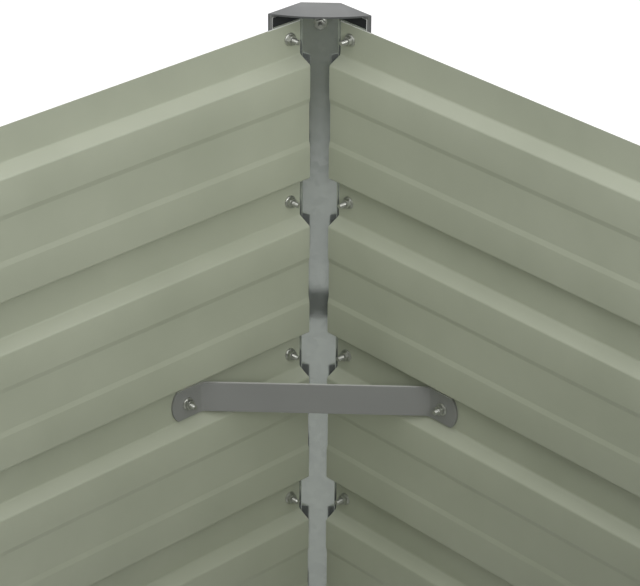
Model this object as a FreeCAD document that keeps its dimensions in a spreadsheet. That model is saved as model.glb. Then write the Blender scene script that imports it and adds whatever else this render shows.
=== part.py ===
import FreeCAD, Part
import math
import os
import re
import Sketcher
from FreeCAD import Placement, Rotation, Vector

# Raised garden bed: four ribbed steel wall sheets bolted into four chamfered corner
# posts, with a cap on each post and a flat brace across each corner.
# Origin: middle of the footprint, on the ground. +X along the long walls, +Z up.
# Millimetres.

# ---------------------------------------------------------------- driving sizes

SIZES = [
    ("bed_length", 1200, "over the corner caps, along X"),
    ("bed_width", 1000, "over the corner caps, along Y"),
    ("wall_sheet", 0.6, "thickness of the wall sheet"),
    ("wall_end", 30, "corner apex to the cut end of a wall sheet"),
    ("wall_bend", 2.5, "inside radius of the bends in a wall sheet"),
    ("rib_count", 5, "outward ribs, one above the other"),
    ("rib_pitch", 190, "rib to rib"),
    ("rib_flat", 42, "flat of a rib, up the wall"),
    ("rib_slope", 8, "height of the slope beside a rib"),
    ("rib_depth", 16, "how far a rib stands out of the pans"),
    ("edge_margin", 20, "middle of the last rib to the edge of the wall"),
    ("band_height", 50, "shallow band along the middle of a pan, between its steps"),
    ("band_step", 6, "height of one step of the band"),
    ("band_depth", 1.5, "depth of the band"),
    ("hem_lip", 9, "edge of the wall to the end of its folded hem"),
    ("hem_gap", 1.2, "air inside the fold"),
    ("hem_start", 76, "corner apex to the notched end of a hem"),
    ("post_sheet", 1.2, "thickness of a corner post"),
    ("post_face", 39, "outside width of a post's chamfered face"),
    ("post_leg", 68, "corner apex to the free edge of a post's leg"),
    ("post_bend", 2, "inside radius of a post's bends"),
    ("post_rise", 10, "post standing above the wall"),
    ("cap_sheet", 2, "thickness of a cap"),
    ("cap_gap", 0.5, "between a cap's side and the post's leg"),
    ("cap_headroom", 3, "between a post's cut top and its cap"),
    ("cap_end", 71.5, "corner apex to the end of a cap's side"),
    ("cap_bulge", 7.5, "rise of the arc along a cap's inner edge"),
    ("cap_skirt", 28, "height of a cap's sides"),
    ("cap_round", 1, "inside radius of a cap's bends"),
    ("cap_bolt_drop", 6.5, "cap bolt below the top of the wall"),
    ("brace_sheet", 3, "thickness of a corner brace"),
    ("brace_height", 36, "height of a brace"),
    ("brace_start", 175, "corner apex to where a brace leaves the wall"),
    ("brace_bend", 8, "inside radius of a brace's bends"),
    ("brace_end", 218, "corner apex to the end of a brace"),
    ("brace_crown", 7.5, "rise of the arc that ends a brace"),
    ("brace_rib", 3, "rib that carries the brace, counted from the ground"),
    ("brace_drop", 1.2, "middle of the brace below the middle of its rib"),
    ("brace_bolt_at", 197, "corner apex to a brace's bolt"),
    ("wall_bolt_at", 45, "corner apex to the bolts through the post's legs"),
    ("bolt_size", 6, "outside of the bolts' thread"),
    ("bolt_length", 16, "below the head"),
    ("bolt_tip", 0.7, "chamfer on a bolt's tip"),
    ("hole_play", 1, "bolt hole wider than the bolt"),
    ("head_width", 12, "outside of a bolt's domed head"),
    ("head_height", 3.3, "height of a bolt's domed head"),
    ("socket_width", 4, "hexagon socket in the head, across its flats"),
    ("socket_depth", 1.8, "depth of the socket"),
    ("nut_flats", 10, "nut across its flats"),
    ("nut_height", 6, "height of a nut, flange included"),
    ("flange_width", 14.2, "outside of a nut's flange"),
    ("flange_sheet", 1.2, "thickness of a nut's flange"),
    ("nut_play", 0.1, "nut's bore wider than the bolt"),
]

# Sizes that follow from the driving ones. A wall's own frame has its origin at the
# middle of the wall; a corner's has it on the ground where the inner faces of the
# ribs of its two walls meet, with -Y into the bed along the diagonal.
FORMULAS = {
    "ribs_height": "(rib_count - 1) * rib_pitch",
    "wall_height": "ribs_height + 2 * edge_margin",
    "leg_outside": "wall_sheet + post_sheet",
    "cap_outside": "leg_outside + cap_gap + cap_sheet",
    "apex_x": "bed_length / 2 - cap_outside",
    "apex_y": "bed_width / 2 - cap_outside",
    "post_height": "wall_height + post_rise",
    "post_back": "sqrt(2) * leg_outside - post_face / 2",
    "post_front": "post_back - post_sheet",
    "cap_top": "post_height + cap_headroom + cap_sheet",
    "cap_back": "post_back + cap_sheet",
    "cap_half": "(cap_end + cap_outside) / sqrt(2)",
    "cap_arc": "(cap_half * cap_half + cap_bulge * cap_bulge) / (2 * cap_bulge)",
    "cap_bolt_height": "wall_height - cap_bolt_drop",
    "brace_back": "0 - brace_start / sqrt(2)",
    "brace_front": "brace_back - brace_sheet",
    "brace_middle": "edge_margin + (brace_rib - 1) * rib_pitch - brace_drop",
    "brace_arc": "(brace_height * brace_height / 4 + brace_crown * brace_crown) / (2 * brace_crown)",
    "hem_width": "2 * wall_sheet + hem_gap",
    "hem_fold": "0.45 * hem_gap",
    "hole_width": "bolt_size + hole_play",
    "head_arc": "(head_width * head_width / 4 + head_height * head_height) / (2 * head_height)",
}

document = FreeCAD.newDocument("garden_bed")
sheet = document.addObject("Spreadsheet::Sheet", "Sizes")
for row, (alias, value, meaning) in enumerate(SIZES, start=1):
    sheet.set("A%d" % row, meaning)
    sheet.set("B%d" % row, str(value))
    sheet.setAlias("B%d" % row, alias)
document.recompute()

ALIASES = [alias for alias, value, meaning in SIZES]


def formula(text):
    """A formula in the names above, with each name written as its cell or its own formula."""
    def swap(match):
        word = match.group(0)
        if word in FORMULAS:
            return "(" + formula(FORMULAS[word]) + ")"
        return "Sizes." + word if word in ALIASES else word
    return re.sub(r"[a-z][a-z_]*", swap, text)


def number(text):
    return float(sheet.evalExpression(formula(text)))


# ---------------------------------------------------------------- sketches and features

def origin_feature(body, role):
    return next(part for part in body.Origin.OriginFeatures if part.Role == role)


def new_sketch(body, name, plane, turn=None, offset=None):
    """A sketch on one of the body's planes, turned about a local axis and moved by formulas."""
    sketch = body.newObject("Sketcher::SketchObject", name)
    sketch.AttachmentSupport = (origin_feature(body, plane), [""])
    sketch.MapMode = "FlatFace"
    if turn:
        axis, angle = turn
        sketch.AttachmentOffset = Placement(Vector(), Rotation(axis, angle))
    for letter, text in zip("xyz", offset or ()):
        if text != "0":
            sketch.setExpression("AttachmentOffset.Base." + letter, formula(text))
    return sketch


def constrain(sketch, wanted):
    """Adds constraints given as (values, name, formula); those with a formula keep to it."""
    made = []
    for values, name, text in wanted:
        values = values if text is None else values + (number(text),)
        constraint = Sketcher.Constraint(*values)
        constraint.Name = name or ""
        made.append(constraint)
    sketch.addConstraint(made)
    for values, name, text in wanted:
        if text is not None:
            sketch.setExpression("Constraints." + name, formula(text))


def fixed_point(geometry, end, point, name):
    """The constraints that hold one point of a sketch at its two formulas."""
    for letter, direction, axis, text in (("x", "DistanceX", -2, point[0]),
                                          ("y", "DistanceY", -1, point[1])):
        if text == "0":
            yield ("PointOnObject", geometry, end, axis), None, None
        else:
            yield (direction, geometry, end), letter + name, text


def outline(body, name, plane, corners, arcs=None, rounds=None, turn=None, offset=None):
    """A closed sketch through corners given as pairs of formulas.

    arcs gives the radius of each edge that is an arc; it bows to the right of its direction.
    rounds gives the radius of each corner that is rounded.
    """
    sketch = new_sketch(body, name, plane, turn, offset)
    arcs, rounds = arcs or {}, rounds or {}
    points = [Vector(number(x), number(y), 0) for x, y in corners]
    count = len(points)
    curves = []
    for i, start in enumerate(points):
        end = points[(i + 1) % count]
        if i not in arcs:
            curves.append(Part.LineSegment(start, end))
            continue
        radius = number(arcs[i])
        along = end - start
        right = Vector(along.y, -along.x, 0).normalize()
        rise = radius - math.sqrt(radius ** 2 - along.Length ** 2 / 4)
        curves.append(Part.Arc(start, (start + end) / 2 + right * rise, end))
    sketch.addGeometry(curves, False)
    wanted = [(("Coincident", i, 2, (i + 1) % count, 1), None, None) for i in range(count)]
    for i, corner in enumerate(corners):
        wanted += fixed_point(i, 1, corner, "_corner_%d" % i)
    wanted += [(("Radius", i), "arc_%d" % i, text) for i, text in arcs.items()]
    constrain(sketch, wanted)
    rounded = []
    for i, text in rounds.items():
        sketch.fillet(i, 1, number(text), True, True)
        made = max(k for k, curve in enumerate(sketch.Geometry) if isinstance(curve, Part.ArcOfCircle))
        rounded.append((("Radius", made), "round_%d" % i, text))
    if rounded:
        constrain(sketch, rounded)
    return sketch


def circles(body, name, plane, centres, width, turn=None, offset=None):
    """A sketch of circles of one width."""
    sketch = new_sketch(body, name, plane, turn, offset)
    wanted = []
    for i, (x, y) in enumerate(centres):
        middle = Vector(number(x), number(y), 0)
        sketch.addGeometry(Part.Circle(middle, Vector(0, 0, 1), number(width) / 2), False)
        wanted += fixed_point(i, 3, (x, y), "_centre_%d" % i)
        wanted.append((("Diameter", i), "width_%d" % i, width))
    constrain(sketch, wanted)
    return sketch


def hexagon(body, name, plane, centre, flats, turn=None, offset=None):
    """A hexagon with two flats upright, given by its width across flats."""
    flat, corner = "(%s) / 2" % flats, "(%s) / sqrt(3)" % flats
    x, y = centre
    signs = [(1, 0.5), (0, 1), (-1, 0.5), (-1, -0.5), (0, -1), (1, -0.5)]
    corners = [
        ("%s + %d * %s" % (x, i, flat) if i else x, "%s + %g * %s" % (y, k, corner))
        for i, k in signs
    ]
    return outline(body, name, plane, corners, turn=turn, offset=offset)


def feature(body, kind, name, sketch, **settings):
    made = body.newObject("PartDesign::" + kind, name)
    made.Profile = sketch
    made.Refine = False
    for key, value in settings.items():
        setattr(made, key, value)
    return made


def pad(body, name, sketch, length, **settings):
    made = feature(body, "Pad", name, sketch, **settings)
    made.setExpression("Length", formula(length))
    return made


def cut_through(body, name, sketch):
    return feature(body, "Pocket", name, sketch, Type="ThroughAll", SideType="Symmetric")


def spin(body, name, sketch):
    """Turns a half outline about its own horizontal axis."""
    return feature(body, "Revolution", name, sketch, ReferenceAxis=(sketch, ["H_Axis"]), Angle=360)


def repeat(body, name, originals, copies=None, length=None, mirror="YZ_Plane"):
    """Copies features up the height, then to the other side of the mirror plane."""
    steps = []
    pattern = body.newObject("PartDesign::MultiTransform", name)
    pattern.Refine = False
    if copies:
        rows = body.newObject("PartDesign::LinearPattern", name + "_rows")
        rows.Direction = (origin_feature(body, "Z_Axis"), [""])
        rows.setExpression("Length", formula(length))
        rows.setExpression("Occurrences", formula(copies))
        steps.append(rows)
    if mirror:
        other = body.newObject("PartDesign::Mirrored", name + "_other_side")
        other.MirrorPlane = (origin_feature(body, mirror), [""])
        steps.append(other)
    pattern.Transformations = steps
    pattern.Originals = originals
    body.Tip = pattern
    return pattern


def new_body(label, place, angle):
    """A body whose own frame stands at the formulas in place, turned about Z."""
    body = document.addObject("PartDesign::Body", label)
    body.Label = label
    body.Placement = Placement(Vector(), Rotation(Vector(0, 0, 1), angle))
    for letter, text in zip("xyz", place):
        if text != "0":
            body.setExpression("Placement.Base." + letter, formula(text))
    return body


Y_AXIS, Z_AXIS = Vector(0, 1, 0), Vector(0, 0, 1)

# ---------------------------------------------------------------- wall sheets


def pan_outline():
    """Section of the sheet from one rib's middle to the next, and the radii of its bends.

    The ribs' inner faces lie in y = 0 and the pans stand rib_depth inside them. Each row
    below gives a bend's depth, its distance from the pan's middle, how much nearer to that
    middle the bend lies on the sheet's outside, and its radius inside and outside.
    """
    rib_turn = "wall_sheet * tan(atan(rib_depth / rib_slope) / 2)"
    band_turn = "wall_sheet * tan(atan(band_depth / band_step) / 2)"
    small, large = "wall_bend", "wall_bend + wall_sheet"
    bends = [
        ("0", "rib_pitch / 2", "0", None, None),
        ("0", "rib_pitch / 2 - rib_flat / 2", rib_turn, small, large),
        ("rib_depth", "rib_pitch / 2 - rib_flat / 2 - rib_slope", rib_turn, large, small),
        ("rib_depth", "band_height / 2 + band_step / 2", "0 - " + band_turn, large, small),
        ("rib_depth - band_depth", "band_height / 2 - band_step / 2", "0 - " + band_turn, small, large),
    ]
    middle = "(rib_pitch / 2 - ribs_height / 2)"
    inside, outside = [], []
    for depth, away, nearer, radius_in, radius_out in bends:
        y = "0" if depth == "0" else "0 - (%s)" % depth
        inside.append((y, "%s - (%s)" % (middle, away), "%s + (%s)" % (middle, away), radius_in))
        away = "%s - (%s)" % (away, nearer)
        outside.append(("wall_sheet - (%s)" % depth, "%s - (%s)" % (middle, away),
                        "%s + (%s)" % (middle, away), radius_out))
    going_up = [(y, low, r) for y, low, high, r in inside]
    going_up += [(y, high, r) for y, low, high, r in inside[::-1]]
    coming_down = [(y, high, r) for y, low, high, r in outside]
    coming_down += [(y, low, r) for y, low, high, r in outside[::-1]]
    corners = going_up + coming_down
    return [(y, z) for y, z, r in corners], {i: r for i, (y, z, r) in enumerate(corners) if r}


def ribs():
    return range(1, round(number("rib_count")) + 1)


def rib_height(rib):
    """Middle of a rib above the ground, counted from the ground."""
    return "edge_margin + %d * rib_pitch" % (rib - 1)


def wall(label, place, angle, half_span):
    """Ribbed sheet with folded hems; half_span runs from its middle to the corner apex."""
    body = new_body(label, place, angle)
    length = "2 * (%s - wall_end)" % half_span
    corners, bends = pan_outline()
    section = outline(body, label + "_pan_section", "YZ_Plane", corners, rounds=bends)
    pan = pad(body, label + "_pan", section, length, SideType="Symmetric")
    repeat(body, label + "_pans", [pan], "rib_count - 1", "ribs_height - rib_pitch", mirror=None)

    # Flat edge above the last rib, the hem folded outward over it, and both again below.
    flat_top = "wall_height / 2 - hem_width"
    edge = outline(body, label + "_edge_section", "YZ_Plane", [
        ("0", "ribs_height / 2"), ("wall_sheet", "ribs_height / 2"),
        ("wall_sheet", flat_top), ("0", flat_top)])
    inner_fold, outer_fold = "hem_fold", "hem_fold + wall_sheet"
    hem = outline(body, label + "_hem_section", "YZ_Plane", [
        ("0", "ribs_height / 2"), ("wall_sheet", "ribs_height / 2"),
        ("wall_sheet", "wall_height / 2 - wall_sheet"),
        ("hem_width - wall_sheet", "wall_height / 2 - wall_sheet"),
        ("hem_width - wall_sheet", "wall_height / 2 - hem_lip"),
        ("hem_width", "wall_height / 2 - hem_lip"),
        ("hem_width", "wall_height / 2"), ("0", "wall_height / 2")],
        rounds={2: inner_fold, 3: inner_fold, 6: outer_fold, 7: outer_fold})
    edge_pad = pad(body, label + "_edge", edge, length, SideType="Symmetric")
    hem_pad = pad(body, label + "_hem", hem, "2 * (%s - hem_start)" % half_span, SideType="Symmetric")
    repeat(body, label + "_edges", [edge_pad, hem_pad], mirror="XY_Plane")

    # Holes for the post's bolts in each rib, and for the brace's bolt in one.
    bolts_x, brace_x = "%s - wall_bolt_at" % half_span, "%s - brace_bolt_at" % half_span
    centres = [(bolts_x, rib_height(rib) + " - wall_height / 2") for rib in ribs()]
    centres.append((brace_x, "brace_middle - wall_height / 2"))
    holes = cut_through(body, label + "_holes", circles(
        body, label + "_hole_circles", "XZ_Plane", centres, "hole_width"))
    repeat(body, label + "_other_end", [holes])
    return body


# ---------------------------------------------------------------- corner pieces

def on_side(distance, depth):
    """Point on the left wall's side of a corner: distance from the apex, depth into the bed."""
    return ("0 - ((%s) - (%s)) / sqrt(2)" % (distance, depth),
            "0 - ((%s) + (%s)) / sqrt(2)" % (distance, depth))


def where_planes_meet(y, depth):
    """Point where a face across the corner at y meets the face at that depth on the left."""
    return ("(%s) + sqrt(2) * (%s)" % (y, depth), y)


def both_sides(points):
    """Points of the left half, then those of the right half in the same direction."""
    return points + [("0 - (%s)" % x, y) for x, y in reversed(points)]


def bent_strip(outside, inside, inner_radius, thickness):
    """Closed outline of a strip with two bends, and the radii of its corners.

    outside and inside hold the left half's free end and its bend, on each face.
    """
    corners = both_sides(outside) + both_sides(inside)[::-1]
    outer_radius = "%s + %s" % (inner_radius, thickness)
    return corners, {1: outer_radius, 2: outer_radius, 5: inner_radius, 6: inner_radius}


# Right wall's side of a corner, seen from inside: x along the wall, y up, z into the bed.
ON_RIGHT_WALL = (Y_AXIS, -45)
# The same with x into the bed, in a level plane.
INTO_RIGHT_WALL = (Z_AXIS, -135)
# Straight into the bed from the chamfer, in a level plane.
INTO_CHAMFER = (Z_AXIS, -90)


def post(label, place, angle):
    """Corner post: a folded sheet with a chamfered face and a leg behind each wall's ribs."""
    body = new_body(label, place, angle)
    outer_bend = where_planes_meet("post_back", "0 - (leg_outside)")
    inner_bend = where_planes_meet("post_front", "0 - wall_sheet")
    outside = [on_side("post_leg", "0 - (leg_outside)"), outer_bend]
    inside = [on_side("post_leg", "0 - wall_sheet"), inner_bend]
    corners, bends = bent_strip(outside, inside, "post_bend", "post_sheet")
    section = outline(body, label + "_section", "XY_Plane", corners, rounds=bends)
    pad(body, label + "_sheet", section, "post_height")
    leg_holes = cut_through(body, label + "_leg_holes", circles(
        body, label + "_leg_circles", "XZ_Plane",
        [("wall_bolt_at", rib_height(rib)) for rib in ribs()], "hole_width", turn=ON_RIGHT_WALL))
    repeat(body, label + "_other_leg", [leg_holes])
    cut_through(body, label + "_cap_hole", circles(
        body, label + "_cap_circle", "XZ_Plane", [("0", "cap_bolt_height")], "hole_width"))
    return body


def cap(label, place, angle):
    """Corner cap: a plate with an arced inner edge and sides down over the post's outside."""
    body = new_body(label, place, angle)
    outer_bend = where_planes_meet("cap_back", "0 - (cap_outside)")
    inner_bend = where_planes_meet("post_back", "0 - (leg_outside + cap_gap)")
    outside = [on_side("cap_end", "0 - (cap_outside)"), outer_bend]
    inside = [on_side("cap_end", "0 - (leg_outside + cap_gap)"), inner_bend]
    corners, bends = bent_strip(outside, inside, "cap_round", "cap_sheet")
    plate = outline(body, label + "_plate_outline", "XY_Plane", both_sides(outside)[::-1],
                    arcs={3: "cap_arc"}, rounds={1: bends[1], 2: bends[2]},
                    offset=("0", "0", "cap_top - cap_sheet"))
    sides = outline(body, label + "_sides_outline", "XY_Plane", corners, rounds=bends,
                    offset=("0", "0", "cap_top - cap_skirt"))
    pad(body, label + "_plate", plate, "cap_sheet")
    pad(body, label + "_sides", sides, "cap_skirt")
    cut_through(body, label + "_bolt_hole", circles(
        body, label + "_bolt_circle", "XZ_Plane", [("0", "cap_bolt_height")], "hole_width"))
    return body


def brace(label, place, angle):
    """Corner brace: a flat strap across the corner, its ends bent onto a rib of each wall."""
    body = new_body(label, place, angle)
    back_bend = where_planes_meet("brace_back", "0")
    front_bend = where_planes_meet("brace_front", "brace_sheet")
    back = [on_side("brace_end", "0"), back_bend]
    front = [on_side("brace_end", "brace_sheet"), front_bend]
    corners, bends = bent_strip(back, front, "brace_bend", "brace_sheet")
    strap = outline(body, label + "_section", "XY_Plane", corners, rounds=bends,
                    offset=("0", "0", "brace_middle"))
    pad(body, label + "_strap", strap, "brace_height", SideType="Symmetric")

    shoulder = "brace_end - brace_crown"
    low, high = "brace_middle - brace_height / 2", "brace_middle + brace_height / 2"
    beyond = "brace_end + brace_sheet"
    waste = outline(body, label + "_end_waste", "XZ_Plane", [
        (shoulder, low), (shoulder, high), (shoulder, high + " + brace_sheet"),
        (beyond, high + " + brace_sheet"), (beyond, low + " - brace_sheet"),
        (shoulder, low + " - brace_sheet")], arcs={0: "brace_arc"}, turn=ON_RIGHT_WALL)
    rounded_end = cut_through(body, label + "_end", waste)
    hole = cut_through(body, label + "_hole", circles(
        body, label + "_circle", "XZ_Plane", [("brace_bolt_at", "brace_middle")], "hole_width",
        turn=ON_RIGHT_WALL))
    repeat(body, label + "_other_end", [rounded_end, hole])
    return body


# ---------------------------------------------------------------- bolts and nuts

def bolt(body, label, seat, centre, level, face):
    """One domed bolt whose head bears at seat, with a hexagon socket in its head.

    level and face are the turn and offset of the half section's sketch, where x runs along
    the bolt into the bed, and of the socket's sketch.
    """
    tip = seat + " + bolt_length"
    half = outline(body, label + "_half_section", "XY_Plane", [
        (tip, "0"), (tip, "bolt_size / 2 - bolt_tip"), (tip + " - bolt_tip", "bolt_size / 2"),
        (seat, "bolt_size / 2"), (seat, "head_width / 2"), (seat + " - head_height", "0")],
        arcs={4: "head_arc"}, turn=level[0], offset=level[1])
    turned = spin(body, label + "_turned", half)
    socket = hexagon(body, label + "_socket_outline", "XZ_Plane", centre, "socket_width",
                     turn=face[0], offset=face[1])
    pressed = feature(body, "Pocket", label + "_socket", socket, Reversed=True)
    pressed.setExpression("Length", formula("socket_depth"))
    return [turned, pressed]


def nut(body, label, centre, turn, offset):
    """One flanged hexagon nut, seated where its sketches lie."""
    hexagonal = pad(body, label + "_hexagon", hexagon(
        body, label + "_hexagon_outline", "XZ_Plane", centre, "nut_flats", turn, offset), "nut_height")
    flange = pad(body, label + "_flange", circles(
        body, label + "_flange_circle", "XZ_Plane", [centre], "flange_width", turn, offset),
        "flange_sheet")
    bore = cut_through(body, label + "_bore", circles(
        body, label + "_bore_circle", "XZ_Plane", [centre], "bolt_size + nut_play", turn, offset))
    return [hexagonal, flange, bore]


def inward(depth):
    """Offset of a sketch on the right wall's side that moves it that deep into the bed."""
    return ("0 - (%s) / sqrt(2)" % depth, "0", "(%s) / sqrt(2)" % depth)


def corner_fasteners(corner, place, angle):
    """Bolts and nuts of one corner: through the post's legs, the brace's ends and the cap."""
    # Name, distance from the apex, height, seats of the bolt's head and the nut as depths
    # into the bed, and the rows that repeat them.
    for name, at, height, bolt_seat, nut_seat, rows in (
            ("wall", "wall_bolt_at", "edge_margin", "0 - (leg_outside)", "0",
             ("rib_count", "ribs_height")),
            ("brace", "brace_bolt_at", "brace_middle", "0 - wall_sheet", "brace_sheet", ())):
        label = "%s_bolts_%s" % (name, corner)
        body = new_body(label, place, angle)
        along = "%s / sqrt(2)" % at
        made = bolt(body, label, bolt_seat, (at, height),
                    (INTO_RIGHT_WALL, (along, "0 - " + along, height)),
                    (ON_RIGHT_WALL, inward(bolt_seat + " - head_height")))
        repeat(body, label + "_all", made, *rows)

        label = "%s_nuts_%s" % (name, corner)
        body = new_body(label, place, angle)
        made = nut(body, label, (at, height), ON_RIGHT_WALL, inward(nut_seat))
        repeat(body, label + "_all", made, *rows)

    centre, seat = ("0", "cap_bolt_height"), "0 - (cap_back)"
    label = "cap_bolt_" + corner
    bolt(new_body(label, place, angle), label, seat, centre,
         (INTO_CHAMFER, ("0", "0", "cap_bolt_height")), (None, ("0", "0", seat + " - head_height")))
    label = "cap_nut_" + corner
    nut(new_body(label, place, angle), label, centre, None, ("0", "0", "0 - (post_front)"))


# ---------------------------------------------------------------- the bed

# Walls: name, place of the middle of their ribs' inner face, turn, half span.
HALF_HEIGHT = "wall_height / 2"
wall("wall_back", ("0", "apex_y", HALF_HEIGHT), 0, "apex_x")
wall("wall_left", ("0 - (apex_x)", "0", HALF_HEIGHT), 90, "apex_y")
wall("wall_front", ("0", "0 - (apex_y)", HALF_HEIGHT), 180, "apex_x")
wall("wall_right", ("apex_x", "0", HALF_HEIGHT), -90, "apex_y")

# Corners: name, place of their apex on the ground, turn.
CORNERS = [
    ("back_right", ("apex_x", "apex_y", "0"), -45),
    ("back_left", ("0 - (apex_x)", "apex_y", "0"), 45),
    ("front_left", ("0 - (apex_x)", "0 - (apex_y)", "0"), 135),
    ("front_right", ("apex_x", "0 - (apex_y)", "0"), -135),
]
for corner, place, angle in CORNERS:
    post("post_" + corner, place, angle)
    cap("cap_" + corner, place, angle)
    brace("brace_" + corner, place, angle)
    corner_fasteners(corner, place, angle)

bodies = [made for made in document.Objects if made.TypeId == "PartDesign::Body"]
for body in bodies:
    body.Tip.Refine = True
document.recompute()

for made in document.Objects:
    assert not {"Invalid", "Error"} & set(made.State), "%s: %s" % (made.Name, made.State)
for body in bodies:
    assert not body.Shape.isNull() and body.Shape.isValid(), body.Label

os.makedirs("parts", exist_ok=True)
for body in bodies:
    body.Shape.exportStep("parts/%s.step" % body.Label)
    print("%-24s %2d solids %12.1f mm3" % (body.Label, len(body.Shape.Solids), body.Shape.Volume))
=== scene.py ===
# %% [markdown]
# # A raised garden bed of ribbed steel
#
# Four thin ribbed sheets are bolted into four folded corner posts. Each post wears a cap, and a
# flat brace crosses each corner at the middle rib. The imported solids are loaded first: they fix
# every size and place, and each piece modelled below stands exactly where its solid stands.

# %% Load the frame
import math

import bpy
from mathutils import Matrix, Vector


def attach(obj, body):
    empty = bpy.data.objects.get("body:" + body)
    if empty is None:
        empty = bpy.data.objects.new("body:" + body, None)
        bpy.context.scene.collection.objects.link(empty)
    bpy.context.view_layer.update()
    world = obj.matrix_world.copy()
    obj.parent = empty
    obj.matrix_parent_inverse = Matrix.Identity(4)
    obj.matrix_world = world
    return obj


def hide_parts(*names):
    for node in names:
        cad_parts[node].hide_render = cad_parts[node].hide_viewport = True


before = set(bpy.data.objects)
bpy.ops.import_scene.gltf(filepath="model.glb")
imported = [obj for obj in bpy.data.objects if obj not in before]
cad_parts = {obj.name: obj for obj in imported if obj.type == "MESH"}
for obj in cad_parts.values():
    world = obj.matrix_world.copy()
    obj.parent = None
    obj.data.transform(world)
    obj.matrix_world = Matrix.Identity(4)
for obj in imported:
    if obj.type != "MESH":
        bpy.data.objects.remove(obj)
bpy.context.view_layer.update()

# %% [markdown]
# ## Sizes
#
# Blender works in metres here, and the sizes of thin sheet read better in millimetres, so each is
# a count of MM. They are named once, before anything uses them.

# %% Sizes of the walls
MM = 0.001
WALL_HEIGHT, WALL_SHEET, WALL_END = 800 * MM, 0.6 * MM, 30 * MM
HEM_START, HEM_LIP, HEM_WIDTH, HIGHLIGHT_RIM = 76 * MM, 9 * MM, 2.4 * MM, 1.2 * MM
RIB_COUNT, RIB_PITCH, EDGE_MARGIN = 5, 190 * MM, 20 * MM
RIB_FLAT, RIB_SLOPE, RIB_DEPTH = 42 * MM, 8 * MM, 16 * MM
BAND_HEIGHT, BAND_STEP, BAND_DEPTH = 50 * MM, 6 * MM, 1.5 * MM
RIB_HEIGHTS = [EDGE_MARGIN + RIB_PITCH * i for i in range(RIB_COUNT)]
print("ribs at", [round(z, 3) for z in RIB_HEIGHTS])

# %% Sizes of the corner pieces
POST_SHEET, POST_HEIGHT, POST_FACE, POST_LEG = 1.2 * MM, 810 * MM, 39 * MM, 68 * MM
LEG_OUTSIDE = WALL_SHEET + POST_SHEET
POST_BACK = math.sqrt(2) * LEG_OUTSIDE - POST_FACE / 2
CAP_SHEET, CAP_GAP, CAP_TOP = 2 * MM, 0.5 * MM, 815 * MM
CAP_END, CAP_BULGE, CAP_SKIRT = 71.5 * MM, 7.5 * MM, 28 * MM
CAP_OUTSIDE = LEG_OUTSIDE + CAP_GAP + CAP_SHEET
CAP_BACK = POST_BACK + CAP_SHEET
BRACE_SHEET, BRACE_HEIGHT, BRACE_MIDDLE = 3 * MM, 36 * MM, 398.8 * MM
BRACE_START, BRACE_END, BRACE_CROWN, BRACE_BEND = 175 * MM, 218 * MM, 7.5 * MM, 8 * MM
print("chamfer", POST_FACE, "m wide,", round(-POST_BACK, 4), "m in from the apex")

# %% Sizes of the hardware
WALL_BOLT_AT, BRACE_BOLT_AT, CAP_BOLT_HEIGHT = 45 * MM, 197 * MM, 793.5 * MM
BOLT_RADIUS, BOLT_LENGTH, BOLT_TIP, THREAD_PITCH = 3 * MM, 16 * MM, 0.7 * MM, 1 * MM
HEAD_RADIUS, HEAD_HEIGHT, SOCKET_FLATS, SOCKET_DEPTH = 6 * MM, 3.3 * MM, 4 * MM, 1.8 * MM
NUT_FLATS, NUT_HEIGHT, FLANGE_RADIUS, FLANGE_SHEET = 10 * MM, 6 * MM, 7.1 * MM, 1.2 * MM
HOLE_RADIUS = 3.5 * MM
print("bolts M%g, %g mm long" % (2 * BOLT_RADIUS / MM, BOLT_LENGTH / MM))

# %% [markdown]
# ## Where the walls and corners are
#
# Each wall and each corner has its own frame, so it can be modelled once and then placed. A
# corner's origin lies on the ground at its apex, where the inner faces of two walls' ribs would
# meet, and its -Y points into the bed along the diagonal. A wall's origin lies on the ground at
# the middle of its ribs' inner face, and its -Y points into the bed too.

# %% Places and turns
APEX_X, APEX_Y = 595.7 * MM, 495.7 * MM
CORNERS = {
    "back_right": ((APEX_X, APEX_Y, 0), -45),
    "back_left": ((-APEX_X, APEX_Y, 0), 45),
    "front_left": ((-APEX_X, -APEX_Y, 0), 135),
    "front_right": ((APEX_X, -APEX_Y, 0), -135),
}
WALLS = {
    "wall_back": ((0, APEX_Y, 0), 0, APEX_X),
    "wall_left": ((-APEX_X, 0, 0), 90, APEX_Y),
    "wall_front": ((0, -APEX_Y, 0), 180, APEX_X),
    "wall_right": ((APEX_X, 0, 0), -90, APEX_Y),
}


def placed(place, turn):
    """The matrix that takes a wall's or a corner's frame to its place in the bed."""
    return Matrix.Translation(place) @ Matrix.Rotation(math.radians(turn), 4, "Z")


print(len(WALLS), "walls and", len(CORNERS), "corners")

# %% [markdown]
# ## The camera
#
# The view looks down into one corner from beyond the opposite one, with a long lens, so the
# upright edges stay nearly parallel.

# %% Camera
LENS_MM = 149.5
CAMERA_PLACE = (-1.1822, -1.3983, 1.8789)
CAMERA_HEADING, CAMERA_DIP, CAMERA_ROLL = 43.2, 28.63, 0.33

camera_data = bpy.data.cameras.new("camera")
camera_data.lens = LENS_MM
camera = bpy.data.objects.new("camera", camera_data)
bpy.context.scene.collection.objects.link(camera)
camera_turn = (Matrix.Rotation(math.radians(-CAMERA_HEADING), 4, "Z")
               @ Matrix.Rotation(math.radians(90 - CAMERA_DIP), 4, "X")
               @ Matrix.Rotation(math.radians(CAMERA_ROLL), 4, "Z"))
camera.matrix_world = Matrix.Translation(CAMERA_PLACE) @ camera_turn
bpy.context.scene.camera = camera
bpy.context.scene.view_settings.view_transform = "Standard"
print("camera looks along", [round(v, 3) for v in camera_turn @ Vector((0, 0, -1))])

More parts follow.
